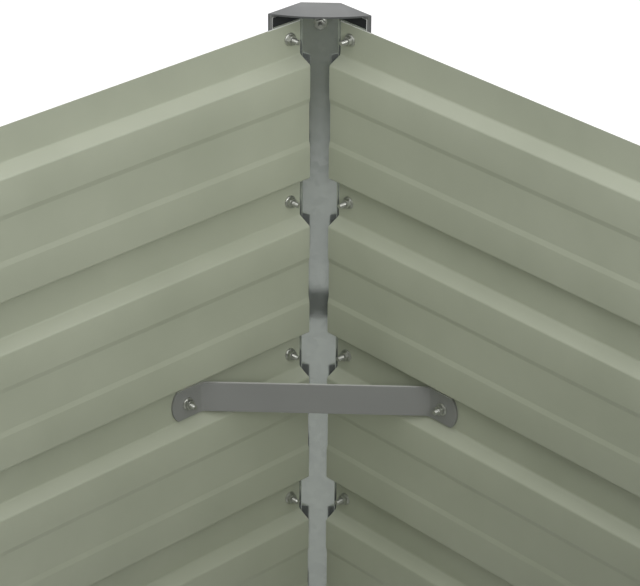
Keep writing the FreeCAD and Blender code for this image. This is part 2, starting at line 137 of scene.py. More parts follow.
# %% [markdown]
# ## The light
#
# A pale dome lights everything softly. One wide lamp hangs overhead, so the upward slopes of the
# ribs are the brightest faces. A second one stands behind the camera and mostly faces the back
# wall, so that is a little lighter than the right one, and a third fills the near ends of both.
#
# The camera sees the dome and the lit floor as pure white. The Light Path node tells the
# camera's rays from the others, so this puts no more light on the bed. Half of the floor stays
# matte and keeps the bed's shadow. Reflections show the dome's white too, but hardly the
# floor's, because the bare zinc of the posts mirrors the floor's real light and shade.

# %% How much plain white shows
def calculate(nodes, links, operation, first, second):
    """A Math node; second is an output or a number."""
    made = nodes.new("ShaderNodeMath")
    made.operation = operation
    links.new(first, made.inputs[0])
    if isinstance(second, float):
        made.inputs[1].default_value = second
    else:
        links.new(second, made.inputs[1])
    return made.outputs[0]


def seen_directly(nodes, links, camera_share, mirror_share):
    """How much of the plain white shows: a share for the camera, another for reflections."""
    rays = nodes.new("ShaderNodeLightPath").outputs
    mirrored = calculate(nodes, links, "MAXIMUM", rays["Is Glossy Ray"], rays["Is Transmission Ray"])
    mirrored = calculate(nodes, links, "MULTIPLY", mirrored, mirror_share)
    direct = calculate(nodes, links, "MULTIPLY", rays["Is Camera Ray"], camera_share)
    return calculate(nodes, links, "MAXIMUM", direct, mirrored)


# %% World
WORLD_LEVEL, SKY_COLOUR = 0.58, (0.98, 0.99, 1, 1)

world = bpy.data.worlds.new("studio")
bpy.context.scene.world = world
world.use_nodes = True
nodes, links = world.node_tree.nodes, world.node_tree.links
shown = nodes["Background"]
shown.inputs["Color"].default_value = (1, 1, 1, 1)
dome = nodes.new("ShaderNodeBackground")
dome.inputs["Color"].default_value = SKY_COLOUR
dome.inputs["Strength"].default_value = WORLD_LEVEL
mixed = nodes.new("ShaderNodeMixShader")
links.new(seen_directly(nodes, links, camera_share=1.0, mirror_share=1.0), mixed.inputs[0])
links.new(dome.outputs[0], mixed.inputs[1])
links.new(shown.outputs[0], mixed.inputs[2])
links.new(mixed.outputs[0], nodes["World Output"].inputs["Surface"])
print("dome level", WORLD_LEVEL)


# %% Lamps
def add_lamp(name, place, aim, size, watts):
    """A square lamp, turned to face the place it aims at."""
    data = bpy.data.lights.new(name, "AREA")
    data.shape, data.size, data.energy = "SQUARE", size, watts
    lamp = bpy.data.objects.new(name, data)
    bpy.context.scene.collection.objects.link(lamp)
    lamp.location = place
    lamp.rotation_euler = (Vector(aim) - lamp.location).to_track_quat("-Z", "Y").to_euler()
    print(name, watts, "W")


add_lamp("overhead", place=(-0.3, -0.3, 3.0), aim=(0, 0, 0.4), size=2.4, watts=17)
add_lamp("key", place=(-0.9, -2.7, 2.6), aim=(0.0, 0.3, 0.5), size=2.0, watts=28)
add_lamp("fill", place=(-0.7, -1.9, 1.7), aim=(0.5, -0.3, 0.6), size=1.2, watts=17)

# %% Floor
FLOOR_SIZE, FLOOR_COLOUR, FLOOR_ROUGHNESS = 60, (0.8, 0.8, 0.79, 1), 0.9
FLOOR_WHITENESS, FLOOR_MIRRORED, FLOOR_GLOW = 0.5, 0.1, 1.72

bpy.ops.object.select_all(action="DESELECT")
bpy.ops.mesh.primitive_plane_add(size=FLOOR_SIZE)
floor = bpy.context.object
floor.name = "floor"
material = bpy.data.materials.new("pale_floor")
material.use_nodes = True
nodes, links = material.node_tree.nodes, material.node_tree.links
matte = nodes["Principled BSDF"]
matte.inputs["Base Color"].default_value = FLOOR_COLOUR
matte.inputs["Roughness"].default_value = FLOOR_ROUGHNESS
white = nodes.new("ShaderNodeEmission")
white.inputs["Strength"].default_value = FLOOR_GLOW
mixed = nodes.new("ShaderNodeMixShader")
links.new(seen_directly(nodes, links, FLOOR_WHITENESS, FLOOR_MIRRORED), mixed.inputs[0])
links.new(matte.outputs[0], mixed.inputs[1])
links.new(white.outputs[0], mixed.inputs[2])
links.new(mixed.outputs[0], nodes["Material Output"].inputs["Surface"])
floor.data.materials.append(material)
print("floor", FLOOR_SIZE, "m wide")

# %% [markdown]
# ## Finishes
#
# The sheets are painted before they are formed: sage inside and slate grey outside, with the
# bare steel and its zinc showing on cut edges. That cut-edge material is made bright, and a strip
# of it along the walls' top edges is a painted highlight. The posts' inner side is bare
# galvanised steel, except where near-black paint covers the tops of the legs under the caps:
# painted shade. Caps and braces are powder coated. The caps' cut edges are painted darker, which
# is painted shade. The braces' paint is a lighter copy of the caps' paint, which is painted
# light, and their upper cut edges are lighter still, a painted highlight. The fasteners are zinc
# plated. Each finish is made of noise in the object's own coordinates, so it stays put and keeps
# its real scale. They come before the modelling, because a sheet needs its materials when it is
# given its thickness.

# %% A new finish and its noise
def new_finish(name, metallic):
    """A material with a Principled shader; returns the material, its nodes, links and shader."""
    material = bpy.data.materials.new(name)
    material.use_nodes = True
    nodes = material.node_tree.nodes
    shader = nodes["Principled BSDF"]
    shader.inputs["Metallic"].default_value = metallic
    return material, nodes, material.node_tree.links, shader


def object_noise(nodes, links, scale, detail=3):
    """Noise in the object's own coordinates; returns its output."""
    place = nodes.new("ShaderNodeTexCoord")
    noise = nodes.new("ShaderNodeTexNoise")
    noise.inputs["Scale"].default_value = scale
    noise.inputs["Detail"].default_value = detail
    links.new(place.outputs["Object"], noise.inputs["Vector"])
    return noise.outputs["Fac"]


# %% Colours and bumps from noise
def ramp(nodes, links, source, low, high, start=0.3, end=0.7):
    """Turns noise into a range of colours, or of grey levels where low and high are numbers."""
    made = nodes.new("ShaderNodeValToRGB")
    for element, position, level in zip(made.color_ramp.elements, (start, end), (low, high)):
        element.position = position
        element.color = (*((level,) * 3 if isinstance(level, float) else level), 1)
    links.new(source, made.inputs["Fac"])
    return made.outputs["Color"]


def bump(nodes, links, source, height, shader):
    """Raises and sinks the surface by the noise, up to a height."""
    made = nodes.new("ShaderNodeBump")
    made.inputs["Distance"].default_value = height
    made.inputs["Strength"].default_value = 1
    links.new(source, made.inputs["Height"])
    links.new(made.outputs["Normal"], shader.inputs["Normal"])


# %% [markdown]
# Sprayed paint is never one even colour. Wide noise gives it faint clouds, finer noise varies
# its gloss, and the finest raises the orange peel that a spray gun leaves.

# %% Paint
CLOUD_SCALE, SHEEN_SCALE, PEEL_SCALE = 9, 35, 700
SHEEN_CHANGE = 0.05


def painted(name, dark, light, rough, peel, gloss=0.5):
    """Paint with faint clouds, a roughness that varies a little and fine orange peel."""
    material, nodes, links, shader = new_finish(name, metallic=0)
    shader.inputs["Specular IOR Level"].default_value = gloss
    clouds = object_noise(nodes, links, CLOUD_SCALE, detail=5)
    links.new(ramp(nodes, links, clouds, dark, light), shader.inputs["Base Color"])
    sheen = object_noise(nodes, links, SHEEN_SCALE)
    links.new(ramp(nodes, links, sheen, rough - SHEEN_CHANGE, rough + SHEEN_CHANGE),
              shader.inputs["Roughness"])
    bump(nodes, links, object_noise(nodes, links, PEEL_SCALE), peel, shader)
    print("paint", name)
    return material


sage_paint = painted("sage_paint", (0.385, 0.410, 0.318), (0.430, 0.455, 0.358),
                     rough=0.42, peel=0.015 * MM)
slate_paint = painted("slate_paint", (0.115, 0.125, 0.130), (0.135, 0.145, 0.150),
                      rough=0.40, peel=0.015 * MM)
cap_paint = painted("cap_paint", (0.187, 0.191, 0.187), (0.210, 0.214, 0.210),
                    rough=0.38, peel=0.02 * MM)
# The braces' paint is the caps' paint made lighter: painted light.
brace_paint = painted("brace_paint", (0.228, 0.232, 0.225), (0.252, 0.256, 0.248),
                      rough=0.38, peel=0.02 * MM)
# A light paint for the braces' upper cut edges: a painted highlight.
brace_rim = painted("brace_rim", (0.46, 0.465, 0.45), (0.52, 0.525, 0.51),
                    rough=0.38, peel=0.02 * MM)
# A dark paint for the caps' cut edges: painted shade.
raw_edge = painted("raw_edge", (0.070, 0.073, 0.073), (0.085, 0.088, 0.088),
                   rough=0.5, peel=0.02 * MM)
# Near-black paint for the tops of the posts' legs under the caps: painted shade.
seal_paint = painted("seal_paint", (0.018, 0.020, 0.022), (0.026, 0.028, 0.030),
                     rough=0.5, peel=0.02 * MM, gloss=0.2)

# %% [markdown]
# Zinc from a hot bath freezes into flat crystals. A Voronoi texture gives each of its cells a
# colour at random, and two channels of that colour set the crystal's shade and its gloss. The
# zinc isn't fully metallic here, because a thin dull skin has formed on it.

# %% Zinc
DENT_SCALE, DENT_HEIGHT = 60, 0.02 * MM
GLOSS_SPREAD = 0.2


def zinc(name, dark, light, metallic, rough, spangles):
    """Zinc on steel: flat crystals, each with its own shade and gloss."""
    material, nodes, links, shader = new_finish(name, metallic)
    place = nodes.new("ShaderNodeTexCoord")
    crystals = nodes.new("ShaderNodeTexVoronoi")
    crystals.inputs["Scale"].default_value = spangles
    links.new(place.outputs["Object"], crystals.inputs["Vector"])
    split = nodes.new("ShaderNodeSeparateColor")
    links.new(crystals.outputs["Color"], split.inputs["Color"])
    links.new(ramp(nodes, links, split.outputs[0], dark, light, start=0, end=1),
              shader.inputs["Base Color"])
    smoothest, roughest = (1 - GLOSS_SPREAD) * rough, (1 + GLOSS_SPREAD) * rough
    links.new(ramp(nodes, links, split.outputs[1], smoothest, roughest, start=0, end=1),
              shader.inputs["Roughness"])
    bump(nodes, links, object_noise(nodes, links, DENT_SCALE), DENT_HEIGHT, shader)
    print("zinc", name)
    return material


bare_zinc = zinc("bare_zinc", (0.460, 0.490, 0.472), (0.500, 0.530, 0.510),
                 metallic=0.78, rough=0.14, spangles=140)
# Bare steel on the cut edges, made bright enough to also serve as painted highlight lines.
cut_edge = zinc("cut_edge", (0.84, 0.85, 0.82), (0.92, 0.93, 0.90),
                metallic=0.5, rough=0.40, spangles=900)
plated_zinc = zinc("plated_zinc", (0.38, 0.39, 0.355), (0.47, 0.48, 0.445),
                   metallic=0.9, rough=0.38, spangles=700)

# %% Which finishes a piece has: front, back, cut edges, and any more
# Painted light in these slots: bright cut edges as highlight lines, near-black leg tops and dark cap
# edges as painted shade, lighter brace paint and rims.
WALL_FINISH = (sage_paint, slate_paint, cut_edge)
POST_FINISH = (slate_paint, bare_zinc, cut_edge, seal_paint)
CAP_FINISH = (cap_paint, cap_paint, raw_edge)
BRACE_FINISH = (brace_paint, brace_paint, brace_rim)
FASTENER_FINISH = (plated_zinc,)
print(len(bpy.data.materials), "materials")

# %% [markdown]
# ## Helpers for modelling
#
# Every sheet starts as one plane and is shaped in edit mode: cut where it bends, moved, its
# bends bevelled round, and given its thickness by Solidify last. Solidify takes the material of
# the back from the second slot and that of the cut edges from the third. Edges and faces are
# picked in code by their place, because an operator works on whatever is selected.

# %% Starting pieces
def select_nothing():
    """Leaves edit mode and clears the selection."""
    if bpy.context.mode != "OBJECT":
        bpy.ops.object.mode_set(mode="OBJECT")
    bpy.ops.object.select_all(action="DESELECT")


def adopt(name, finish):
    """Names the primitive just added, applies its place and gives it its materials."""
    piece = bpy.context.object
    piece.name = piece.data.name = name
    bpy.ops.object.transform_apply(location=True, rotation=True, scale=True)
    for material in finish:
        piece.data.materials.append(material)
    return piece


def start_plane(name, width, height, middle, finish):
    """An upright plane across X whose front faces -Y."""
    select_nothing()
    bpy.ops.mesh.primitive_plane_add(size=1, location=middle, rotation=(math.pi / 2, 0, 0))
    bpy.context.object.scale = (width, height, 1)
    return adopt(name, finish)


def start_cylinder(name, sides, radius, start, end, finish):
    """A closed cylinder along Y from y = start to y = end."""
    select_nothing()
    bpy.ops.mesh.primitive_cylinder_add(
        vertices=sides, radius=radius, depth=abs(end - start),
        location=(0, (start + end) / 2, 0), rotation=(math.pi / 2, 0, 0))
    return adopt(name, finish)


# %% Selecting by place
TOUCH = 0.01 * MM


def near(value, wanted):
    """Whether two coordinates are the same but for rounding."""
    return abs(value - wanted) < TOUCH


def level_at(height):
    """Accepts a level edge across X at that height."""
    return lambda points: (all(near(p.z, height) for p in points)
                           and not near(points[0].x, points[1].x))


def select(piece, kind, keep):
    """In edit mode, selects the vertices, edges or faces whose vertex places keep accepts."""
    bpy.ops.object.mode_set(mode="EDIT")
    bpy.context.tool_settings.mesh_select_mode = [kind == k for k in ("VERT", "EDGE", "FACE")]
    bpy.ops.mesh.select_all(action="DESELECT")
    bpy.ops.object.mode_set(mode="OBJECT")
    mesh = piece.data
    if kind == "VERT":
        for vertex in mesh.vertices:
            vertex.select = keep([vertex.co])
    for element in {"EDGE": mesh.edges, "FACE": mesh.polygons}.get(kind, ()):
        element.select = keep([mesh.vertices[i].co for i in element.vertices])
    bpy.ops.object.mode_set(mode="EDIT")


# %% Strokes in edit mode
def cut(place, normal, **settings):
    """Cuts the whole mesh along a plane, as one stroke of the bisect tool."""
    bpy.ops.object.mode_set(mode="EDIT")
    bpy.ops.mesh.select_all(action="SELECT")
    bpy.ops.mesh.bisect(plane_co=place, plane_no=normal, **settings)


def move(by):
    """Moves what is selected."""
    bpy.ops.transform.translate(value=by)


def extrude_edges(by):
    """Draws new faces out of the selected edges."""
    bpy.ops.mesh.extrude_edges_move(TRANSFORM_OT_translate={"value": by})


def round_bends(radius, turn, segments):
    """Rounds the selected edges; a bevel's offset is the tangent length of the bend."""
    bpy.ops.mesh.bevel(offset=radius * math.tan(turn / 2), segments=segments, affect="EDGES")


# %% Modifiers
def apply_modifier(piece, kind, **settings):
    """Adds a modifier with its settings and applies it at once."""
    bpy.ops.object.mode_set(mode="OBJECT")
    modifier = piece.modifiers.new(kind.lower(), kind)
    for name, value in settings.items():
        setattr(modifier, name, value)
    bpy.context.view_layer.objects.active = piece
    bpy.ops.object.modifier_apply(modifier=modifier.name)


def carve(piece, tool, operation="DIFFERENCE"):
    """Applies a boolean with a tool piece, then deletes the tool."""
    apply_modifier(piece, "BOOLEAN", object=tool, operation=operation, solver="EXACT")
    bpy.data.objects.remove(tool)


def join(pieces, name):
    """Makes one object of several."""
    select_nothing()
    for piece in pieces:
        piece.select_set(True)
    bpy.context.view_layer.objects.active = pieces[0]
    if len(pieces) > 1:
        bpy.ops.object.join()
    pieces[0].name = pieces[0].data.name = name
    return pieces[0]


# %% Soft edges
SHEET_TURN, SMOOTH_TURN = 60, 35


def soften(piece, width, angle=SHEET_TURN, finish=-1):
    """Takes the sharpness off every edge that turns by more than an angle, then shades smooth.
    The new faces have their neighbours' material, or that of a slot."""
    apply_modifier(piece, "BEVEL", width=width, segments=1, limit_method="ANGLE",
                   angle_limit=math.radians(angle), material=finish)
    select_nothing()
    piece.select_set(True)
    bpy.ops.object.shade_smooth_by_angle(angle=math.radians(SMOOTH_TURN))
    triangles = sum(len(face.vertices) - 2 for face in piece.data.polygons)
    print("%-18s %6d triangles" % (piece.name, triangles))


# %% Thickness and holes
HOLE_SIDES, DRILL_REACH = 24, 5 * MM


def thicken(piece, sheet):
    """Gives a sheet its thickness behind its front face."""
    apply_modifier(piece, "SOLIDIFY", thickness=sheet, offset=-1, use_even_offset=True,
                   material_offset=1, material_offset_rim=2)


def drill(piece, seats):
    """Drills a bolt hole through the sheet at each seat, a matrix whose Y is the hole's axis."""
    drills = []
    for seat in seats:
        bit = start_cylinder("bit", HOLE_SIDES, HOLE_RADIUS, -DRILL_REACH, DRILL_REACH,
                             piece.data.materials)
        for face in bit.data.polygons:
            face.material_index = len(piece.data.materials) - 1
        bit.data.transform(seat)
        drills.append(bit)
    carve(piece, join(drills, "drills"))
    print(piece.name, "has", len(seats), "bolt holes")


# %% [markdown]
# ## Wall sheets
#
# A wall is one sheet 0.6 mm thick, roll-formed: five ribs stand 16 mm outward, and each pan
# between them has a shallow band. Here a plane is cut at every bend line, the pans and bands are
# moved, and the bend lines are bevelled round.
#
# The sheet's top and bottom edges are folded outward into a hem, which stops short of the posts.
# Beyond it the sheet's corners are trimmed by the width of the fold.

# %% Bend lines
BOTH_WAYS, BEND_RADIUS = (-1, 1), 2.8 * MM
PAN_CENTRES = [z + RIB_PITCH / 2 for z in RIB_HEIGHTS[:-1]]
RIB_EDGE = RIB_PITCH / 2 - RIB_FLAT / 2
SLOPE_END = RIB_EDGE - RIB_SLOPE
BAND_EDGE = BAND_HEIGHT / 2 + BAND_STEP / 2
BAND_FLAT = BAND_HEIGHT / 2 - BAND_STEP / 2
SLOPE_TURN = math.atan(RIB_DEPTH / RIB_SLOPE)
BAND_TURN = math.atan(BAND_DEPTH / BAND_STEP)


def bend_heights(*distances):
    """Heights at those distances above and below the middle of every pan."""
    return [z + side * d for z in PAN_CENTRES for d in distances for side in BOTH_WAYS]


print(len(bend_heights(RIB_EDGE, SLOPE_END, BAND_EDGE, BAND_FLAT)), "bends in a wall")


# %% The hem
def cut_notches(sheet, half_hem):
    """Trims the sheet's four corners by the width of the hem's fold."""
    def in_notch(points):
        beyond = all(abs(p.x) > half_hem - TOUCH for p in points)
        above = all(p.z > WALL_HEIGHT - HEM_WIDTH - TOUCH for p in points)
        below = all(p.z < HEM_WIDTH + TOUCH for p in points)
        return beyond and (above or below)
    select(sheet, "FACE", in_notch)
    bpy.ops.mesh.delete(type="FACE")


def fold_hem(sheet, edge, lip_way):
    """Folds the free edge outward over the sheet."""
    select(sheet, "EDGE", level_at(edge))
    extrude_edges((0, HEM_WIDTH, 0))
    extrude_edges((0, 0, lip_way * HEM_LIP))


# %% Round the bends
BEND_STEPS, HEM_ROUNDING = 4, 0.45


def round_wall(sheet):
    """Bevels the bends of the ribs, those of the bands and the folds of the hems."""
    for heights, radius, turn in (
            (bend_heights(RIB_EDGE, SLOPE_END), BEND_RADIUS, SLOPE_TURN),
            (bend_heights(BAND_EDGE, BAND_FLAT), BEND_RADIUS, BAND_TURN),
            ((0, WALL_HEIGHT), HEM_ROUNDING * HEM_WIDTH, math.pi / 2)):
        select(sheet, "EDGE", lambda points: any(level_at(z)(points) for z in heights))
        round_bends(radius, turn, BEND_STEPS)


# %% Shape one wall
COLUMN_WIDTH = 45 * MM


def shape_wall(name, half_span):
    """A wall's front face, its bends rounded, in the wall's own frame."""
    half_length, half_hem = half_span - WALL_END, half_span - HEM_START
    middle = (0, 0, WALL_HEIGHT / 2)
    sheet = start_plane(name, 2 * half_length, WALL_HEIGHT, middle, WALL_FINISH)
    bends = bend_heights(RIB_EDGE, SLOPE_END, BAND_EDGE, BAND_FLAT)
    for z in bends + [HEM_WIDTH, WALL_HEIGHT - HEM_WIDTH, WALL_HEIGHT - HEM_WIDTH - HIGHLIGHT_RIM]:
        cut((0, 0, z), (0, 0, 1))
    for x in (-half_hem, half_hem):
        cut((x, 0, 0), (1, 0, 0))
    cut_notches(sheet, half_hem)

    # Pans move into the bed, then the bands in them move back a little.
    for reach, depth in ((SLOPE_END, -RIB_DEPTH), (BAND_FLAT, BAND_DEPTH)):
        select(sheet, "VERT", lambda points: any(abs(points[0].z - z) < reach + TOUCH
                                                 for z in PAN_CENTRES))
        move((0, depth, 0))
    fold_hem(sheet, WALL_HEIGHT, -1)
    fold_hem(sheet, 0, 1)

    # Columns, so that the sheet can wave along its length.
    select(sheet, "EDGE", lambda points: (near(points[0].z, points[1].z)
                                          and abs(points[0].x - points[1].x) > half_hem))
    bpy.ops.mesh.subdivide(number_cuts=round(2 * half_hem / COLUMN_WIDTH))
    round_wall(sheet)
    bpy.ops.object.mode_set(mode="OBJECT")
    print(name, "has", len(sheet.data.polygons), "faces before it has a thickness")
    return sheet


# %% [markdown]
# A narrow strip of faces along the sheet's trimmed upper corners takes the bright material of the
# cut edges, once the sheet has its thickness. It is a painted highlight, a thin bright line on
# the sheet under each cap.

# %% The painted highlight beside the hem
def paint_highlight_rim(sheet, half_hem):
    """Paints a painted highlight: a narrow strip along the sheet's trimmed upper corners."""
    for face in sheet.data.polygons:
        beyond = min(abs(sheet.data.vertices[i].co.x) for i in face.vertices) > half_hem - TOUCH
        if beyond and face.center.z > WALL_HEIGHT - HEM_WIDTH - HIGHLIGHT_RIM:
            face.material_index = WALL_FINISH.index(cut_edge)


# %% [markdown]
# Thin sheet is never quite flat. Its pans swell in and out by a fraction of a millimetre, which
# only shows in how the light slides along them. The ribs stay straight, because the bolts hold
# them. Plain sine waves of different lengths do this without any random numbers.

# %% Let the pans wave
WAVE_HEIGHT, SHORT_SHARE = 0.22 * MM, 0.6
WAVE_LENGTHS = (370 * MM, 153 * MM)
HELD_FREEDOM, HELD_LENGTH = 0.35, 90 * MM
PHASE_STEP, SHORT_PHASE, SHORT_SLANT = 2.3, 2.2, 30


def wave(sheet, half_length, seed):
    """Moves each pan in and out, less beside its ribs and near the posts, which hold it."""
    for vertex in sheet.data.vertices:
        place = vertex.co
        pan = min(PAN_CENTRES, key=lambda z: abs(z - place.z))
        from_pan = min(1, abs(place.z - pan) / SLOPE_END)
        from_post = min(1, (half_length - abs(place.x)) / HELD_LENGTH)
        freedom = HELD_FREEDOM + (1 - HELD_FREEDOM) * from_post
        phase = PHASE_STEP * (pan / RIB_PITCH + seed)
        long_wave = math.sin(math.tau * place.x / WAVE_LENGTHS[0] + phase)
        short_wave = math.sin(math.tau * place.x / WAVE_LENGTHS[1]
                              + SHORT_PHASE * phase + SHORT_SLANT * place.z)
        height = WAVE_HEIGHT * freedom * (1 - from_pan ** 2)
        place.y += height * (long_wave + SHORT_SHARE * short_wave)


# %% Make the four walls
pieces = {}
for seed, (node, (place, turn, half_span)) in enumerate(WALLS.items()):
    sheet = shape_wall(node + "_sheet", half_span)
    wave(sheet, half_span - WALL_END, seed)
    thicken(sheet, WALL_SHEET)
    paint_highlight_rim(sheet, half_span - HEM_START)
    seats = [(half_span - WALL_BOLT_AT, z) for z in RIB_HEIGHTS]
    seats.append((half_span - BRACE_BOLT_AT, BRACE_MIDDLE))
    drill(sheet, [Matrix.Translation((side * x, 0, z)) for x, z in seats for side in BOTH_WAYS])
    # The bevels take the bright cut-edge material: partly the bare edge, partly a painted highlight.
    soften(sheet, width=0.22 * MM, finish=WALL_FINISH.index(cut_edge))
    sheet.data.transform(placed(place, turn))
    pieces[node] = sheet

# %% [markdown]
# ## Places in a corner
#
# Whatever meets a wall is placed by its distance from the apex along that wall and its depth into
# the bed. The two walls of a corner mirror each other, so a side of 1 or -1 picks one of them.

# %% Places in a corner
def along_leg(distance, depth, side):
    """A point beside one wall in the corner's frame: distance from the apex, depth into the bed."""
    return Vector((side * (distance - depth), -(distance + depth), 0)) / math.sqrt(2)


def on_wall(distance, depth, height, side, spin=0):
    """A seat beside a wall in the corner's frame, its Y square to the wall, turned by spin."""
    return (Matrix.Translation(along_leg(distance, depth, side) + Vector((0, 0, height)))
            @ Matrix.Rotation(math.radians(-45 * side), 4, "Z")
            @ Matrix.Rotation(math.radians(spin), 4, "Y"))


def across_corner(y, height, spin=0):
    """A seat on the diagonal of a corner, its Y along the diagonal."""
    return Matrix.Translation((0, y, height)) @ Matrix.Rotation(math.radians(spin), 4, "Y")


print("a post's leg ends at", [round(v, 4) for v in along_leg(POST_LEG, -LEG_OUTSIDE, 1)])

# %% [markdown]
# ## Corner posts
#
# A post is one sheet folded twice: a chamfered face across the corner, and a leg that lies
# behind the ribs of each wall. The plane starts as the chamfer, its upright edges are extruded
# along the walls, and the two bends are bevelled. It is then turned front outward, so that the
# paint is outside and the bare zinc is inside. Under the cap, from the walls' top edge up, the
# legs' inner faces take a near-black paint, which is painted shade, so the sheet is also cut
# where that painted shade ends.

# %% Folding upright strips
def extrude_legs(piece, half_face, y, distance, depth):
    """Extrudes both upright edges of a face across the corner along the walls."""
    for side in BOTH_WAYS:
        select(piece, "EDGE", lambda points: all(near(p.x, side * half_face) for p in points))
        end = along_leg(distance, depth, side)
        extrude_edges((end.x - side * half_face, end.y - y, 0))


def round_upright_bends(piece, half_face, radius, segments):
    """Rounds the two upright bends beside a face across the corner."""
    select(piece, "EDGE", lambda points: (all(near(abs(p.x), half_face) for p in points)
                                          and near(points[0].x, points[1].x)
                                          and not near(points[0].z, points[1].z)))
    round_bends(radius, math.pi / 4, segments)


# %% Shape a post
POST_BEND, SHADE_HEIGHT, SHADE_SLACK = 2 * MM, 799 * MM, 0.5 * MM
SHADE_START = along_leg(WALL_END, -LEG_OUTSIDE, 1).y + SHADE_SLACK

post = start_plane("post", POST_FACE, POST_HEIGHT, (0, POST_BACK, POST_HEIGHT / 2), POST_FINISH)
extrude_legs(post, POST_FACE / 2, POST_BACK, POST_LEG, -LEG_OUTSIDE)
round_upright_bends(post, POST_FACE / 2, POST_BEND + POST_SHEET, segments=5)
bpy.ops.mesh.select_all(action="SELECT")
bpy.ops.mesh.flip_normals()
cut((0, 0, SHADE_HEIGHT), (0, 0, 1))
for side in BOTH_WAYS:
    cut(along_leg(WALL_END, 0, side), along_leg(1, 0, side))
thicken(post, POST_SHEET)
# Painted shade: the legs' inner faces from the walls' top edge up take the near-black paint.
for face in post.data.polygons:
    in_painted_shade = face.center.y < SHADE_START and face.center.z > SHADE_HEIGHT
    if in_painted_shade and face.material_index == POST_FINISH.index(bare_zinc):
        face.material_index = POST_FINISH.index(seal_paint)
wall_holes = [on_wall(WALL_BOLT_AT, -LEG_OUTSIDE, z, side) for z in RIB_HEIGHTS for side in BOTH_WAYS]
drill(post, wall_holes + [across_corner(POST_BACK, CAP_BOLT_HEIGHT)])
soften(post, width=0.12 * MM)

# %% [markdown]
# ## Corner caps
#
# The cap is pressed from 2 mm sheet: a plate whose inner edge is an arc, with its three outer
# sides folded down over the post. A large disc gives the arc, three strokes of the bisect tool
# trim it along the chamfer and the two ends, and the outer edges are extruded down. The folds
# are rounded after the plate has its thickness, because their radius is smaller than that.

# %% Shape a cap
CAP_BEND, CAP_FOLD, ARC_SIDES = 1 * MM, 0.7 * MM, 240
CAP_HALF = (CAP_END + CAP_OUTSIDE) / math.sqrt(2)
CAP_FACE_HALF = math.sqrt(2) * CAP_OUTSIDE - CAP_BACK
CAP_ARC = (CAP_HALF ** 2 + CAP_BULGE ** 2) / (2 * CAP_BULGE)
CAP_CORNER = along_leg(CAP_END, -CAP_OUTSIDE, 1) + Vector((0, 0, CAP_TOP))


def is_outer(points):
    """The plate's three outer edges and the bends between them, but none of the arc."""
    return all(near(p.z, CAP_TOP) and p.y > CAP_CORNER.y - TOUCH for p in points)


select_nothing()
bpy.ops.mesh.primitive_circle_add(vertices=ARC_SIDES, radius=CAP_ARC, fill_type="NGON",
                                  location=(0, CAP_CORNER.y - CAP_BULGE + CAP_ARC, CAP_TOP))
cap = adopt("cap", CAP_FINISH)
for side in BOTH_WAYS:
    cut((side * CAP_CORNER.x, CAP_CORNER.y, 0), (side, 1, 0), clear_outer=True)
cut((0, CAP_BACK, 0), (0, 1, 0), clear_outer=True)
select(cap, "EDGE", is_outer)
extrude_edges((0, 0, -CAP_SKIRT))
round_upright_bends(cap, CAP_FACE_HALF, CAP_BEND + CAP_SHEET, segments=6)
thicken(cap, CAP_SHEET)
select(cap, "EDGE", is_outer)
round_bends(CAP_FOLD, math.pi / 2, segments=3)
drill(cap, [across_corner(CAP_BACK, CAP_BOLT_HEIGHT)])
soften(cap, width=0.15 * MM)

# %% [markdown]
# ## Corner braces
#
# A brace is a flat strap, 36 by 3 mm, bent at both ends to lie on the walls' middle ribs. Its
# ends are rounded by a shallow arc. The plane starts as the strap's front face. Its cut ends are
# subdivided and each point is then moved out to the arc. Its upper cut edges take a light paint,
# a painted highlight, and the other cut edges go back to the paint of the faces.

# %% Shape a brace
BRACE_FRONT = -BRACE_START / math.sqrt(2) - BRACE_SHEET
BRACE_FACE_HALF = -BRACE_FRONT - math.sqrt(2) * BRACE_SHEET
BRACE_SHOULDER = BRACE_END - BRACE_CROWN
BRACE_ARC = (BRACE_HEIGHT ** 2 / 4 + BRACE_CROWN ** 2) / (2 * BRACE_CROWN)
ARC_CUTS, FACING_UP = 15, 0.7

brace = start_plane("brace", 2 * BRACE_FACE_HALF, BRACE_HEIGHT, (0, BRACE_FRONT, BRACE_MIDDLE),
                    BRACE_FINISH)
extrude_legs(brace, BRACE_FACE_HALF, BRACE_FRONT, BRACE_SHOULDER, BRACE_SHEET)
shoulder_x = along_leg(BRACE_SHOULDER, BRACE_SHEET, 1).x
select(brace, "EDGE", lambda points: all(near(abs(p.x), shoulder_x) for p in points))
bpy.ops.mesh.subdivide(number_cuts=ARC_CUTS)
bpy.ops.object.mode_set(mode="OBJECT")
for vertex in brace.data.vertices:
    if near(abs(vertex.co.x), shoulder_x):
        rise = vertex.co.z - BRACE_MIDDLE
        outward = along_leg(1, 0, math.copysign(1, vertex.co.x))
        vertex.co += outward * (math.sqrt(BRACE_ARC ** 2 - rise ** 2) - BRACE_ARC + BRACE_CROWN)
round_upright_bends(brace, BRACE_FACE_HALF, BRACE_BEND, segments=8)
thicken(brace, BRACE_SHEET)
# The cut edges facing up keep the light paint, a painted highlight; the rest take the faces' paint.
for face in brace.data.polygons:
    if face.material_index == BRACE_FINISH.index(brace_rim) and face.normal.z < FACING_UP:
        face.material_index = BRACE_FINISH.index(brace_paint)
drill(brace, [on_wall(BRACE_BOLT_AT, 0, BRACE_MIDDLE, side) for side in BOTH_WAYS])
soften(brace, width=0.3 * MM)

# %% [markdown]
# ## Bolts
#
# The bolts are M6, 16 mm long, with a domed head and a hexagon socket. A cylinder is cut into
# thin rings and each ring's points are drawn in along a helix, which gives a real thread in a
# closed mesh. The head is the cap of a sphere, and the socket is a hexagon cut out of it. The
# head is seated at y = 0, and the thread runs from there towards -Y.

# %% Shape the thread
THREAD_DEPTH, THREAD_SIDES, RING_STEP, OVERLAP = 0.55 * MM, 20, 0.25 * MM, 0.5 * MM

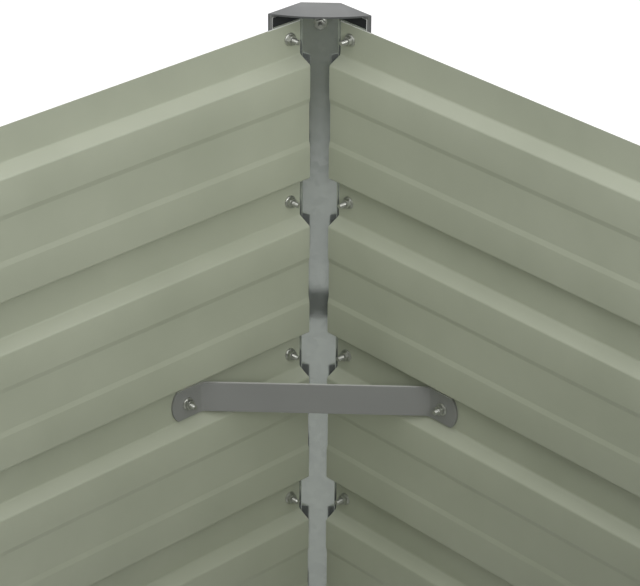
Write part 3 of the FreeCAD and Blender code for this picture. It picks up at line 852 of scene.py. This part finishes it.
thread = start_cylinder("thread", THREAD_SIDES, BOLT_RADIUS, OVERLAP, -BOLT_LENGTH,
                        FASTENER_FINISH)
for ring in range(1, round(BOLT_LENGTH / RING_STEP)):
    cut((0, -ring * RING_STEP, 0), (0, 1, 0))
bpy.ops.object.mode_set(mode="OBJECT")
for vertex in thread.data.vertices:
    x, y, z = vertex.co
    turns = (math.atan2(z, x) / math.tau - y / THREAD_PITCH) % 1
    in_groove = BOLT_RADIUS - THREAD_DEPTH * abs(2 * turns - 1)
    on_tip = BOLT_RADIUS - BOLT_TIP + y + BOLT_LENGTH
    radius = min(in_groove, on_tip)
    vertex.co = Vector((x, 0, z)).normalized() * radius + Vector((0, y, 0))
print(len(thread.data.vertices), "points in the thread")

# %% Shape the head
HEXAGON = 6
HEAD_BALL = (HEAD_RADIUS ** 2 + HEAD_HEIGHT ** 2) / (2 * HEAD_HEIGHT)

select_nothing()
bpy.ops.mesh.primitive_uv_sphere_add(segments=32, ring_count=36, radius=HEAD_BALL,
                                     location=(0, HEAD_HEIGHT - HEAD_BALL, 0),
                                     rotation=(math.pi / 2, 0, 0))
head = adopt("head", FASTENER_FINISH)
cut((0, 0, 0), (0, 1, 0), clear_inner=True, use_fill=True)
carve(head, start_cylinder("socket", HEXAGON, SOCKET_FLATS / math.sqrt(3),
                           HEAD_HEIGHT - SOCKET_DEPTH, HEAD_HEIGHT + SOCKET_DEPTH, FASTENER_FINISH))
bolt = join([thread, head], "bolt")
soften(bolt, width=0.08 * MM, angle=50)

# %% [markdown]
# ## Nuts
#
# A flanged nut is a hexagon on a round flange. The hexagon's corners are turned down to a cone
# on a lathe, which leaves the arcs on its six faces, so the prism is intersected with a cone. The
# flange is seated at y = 0, and the nut stands from there towards -Y.

# %% Shape the hexagon
CORNER_RADIUS, CORNER_CUT, ROUND_SIDES = NUT_FLATS / math.sqrt(3), 0.45 * MM, 48

cone = start_cylinder("cone", ROUND_SIDES, CORNER_RADIUS, OVERLAP, -NUT_HEIGHT, FASTENER_FINISH)
select(cone, "FACE", lambda points: all(near(p.y, -NUT_HEIGHT) for p in points))
bpy.ops.mesh.inset(thickness=CORNER_RADIUS - NUT_FLATS / 2, depth=0)
select(cone, "VERT", lambda points: (near(points[0].y, -NUT_HEIGHT)
                                     and points[0].xz.length > CORNER_RADIUS - TOUCH))
move((0, CORNER_CUT, 0))
nut = start_cylinder("nut", HEXAGON, CORNER_RADIUS, -FLANGE_SHEET / 2, -NUT_HEIGHT,
                     FASTENER_FINISH)
carve(nut, cone, "INTERSECT")
print(len(nut.data.polygons), "faces on the hexagon")

# %% Add the flange and the bore
FLANGE_RISE, FLANGE_SLOPE = 0.75 * MM, 1.6 * MM
BORE_SIDES, THREAD_GRIP, BORE_REACH = 28, 0.1 * MM, 1 * MM

flange = start_cylinder("flange", ROUND_SIDES, FLANGE_RADIUS, 0, -FLANGE_SHEET, FASTENER_FINISH)
select(flange, "FACE", lambda points: all(near(p.y, -FLANGE_SHEET) for p in points))
bpy.ops.mesh.inset(thickness=FLANGE_SLOPE, depth=0)
move((0, -FLANGE_RISE, 0))
carve(nut, flange, "UNION")
carve(nut, start_cylinder("bore", BORE_SIDES, BOLT_RADIUS - THREAD_GRIP, BORE_REACH,
                          -NUT_HEIGHT - BORE_REACH, FASTENER_FINISH))
soften(nut, width=0.1 * MM, angle=35)

# %% [markdown]
# ## Putting the corners together
#
# Every corner is the same, only turned. Each modelled piece is copied with a mesh of its own,
# and its place and turn go into that mesh, so every finished object sits at the origin.

# %% Copies
def copy_of(model, name, matrix):
    """A copy with its own mesh, which the matrix takes to its place."""
    piece = model.copy()
    piece.data = model.data.copy()
    piece.name = piece.data.name = name
    piece.data.transform(matrix)
    bpy.context.scene.collection.objects.link(piece)
    return piece


# %% Seats of the fasteners
SPIN_STEP, HEXAGON_TURN = 37, 360 // HEXAGON


def spin_of(number):
    """Bolts and nuts stop at any angle; a hexagon looks the same again after 60 degrees."""
    return number * SPIN_STEP % HEXAGON_TURN


def corner_seats(leg, rib, chamfer, first):
    """Seats of one corner's bolts or nuts, by the start of the node's name: at those depths
    beside the legs and the ribs, and at that place of the chamfer on the diagonal."""
    return {
        "wall": [on_wall(WALL_BOLT_AT, leg, z, side, spin_of(first + 2 * i + side))
                 for i, z in enumerate(RIB_HEIGHTS) for side in BOTH_WAYS],
        "brace": [on_wall(BRACE_BOLT_AT, rib, BRACE_MIDDLE, side, spin_of(first + side))
                  for side in BOTH_WAYS],
        "cap": [across_corner(chamfer, CAP_BOLT_HEIGHT, spin_of(first))],
    }


BOLT_SEATS = corner_seats(leg=-LEG_OUTSIDE, rib=-WALL_SHEET, chamfer=CAP_BACK, first=5)
NUT_SEATS = corner_seats(leg=0, rib=BRACE_SHEET, chamfer=POST_BACK - POST_SHEET, first=2)
print(sum(len(group) for group in BOLT_SEATS.values()), "bolts in a corner")

# %% Four corners
for corner, (place, turn) in CORNERS.items():
    to_corner = placed(place, turn)
    for model in (post, cap, brace):
        node = "%s_%s" % (model.name, corner)
        pieces[node] = copy_of(model, node + "_sheet", to_corner)
    for model, groups in ((bolt, BOLT_SEATS), (nut, NUT_SEATS)):
        for holds, matrices in groups.items():
            node = "%s_%s%s_%s" % (holds, model.name, "" if holds == "cap" else "s", corner)
            copies = [copy_of(model, "copy", to_corner @ matrix) for matrix in matrices]
            pieces[node] = join(copies, node + "_made")
for model in (post, cap, brace, bolt, nut):
    bpy.data.objects.remove(model)
print(len(pieces), "pieces for", len(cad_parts), "nodes")

# %% [markdown]
# ## Tying the pieces to the frame
#
# Nothing on the bed moves, so every piece rides on its one body. Each stands for the solid of
# the same name, which is hidden.

# %% Ride and replace
for node, piece in pieces.items():
    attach(piece, "root")
    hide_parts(node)
print(len(pieces), "pieces ride on the bed's one body")
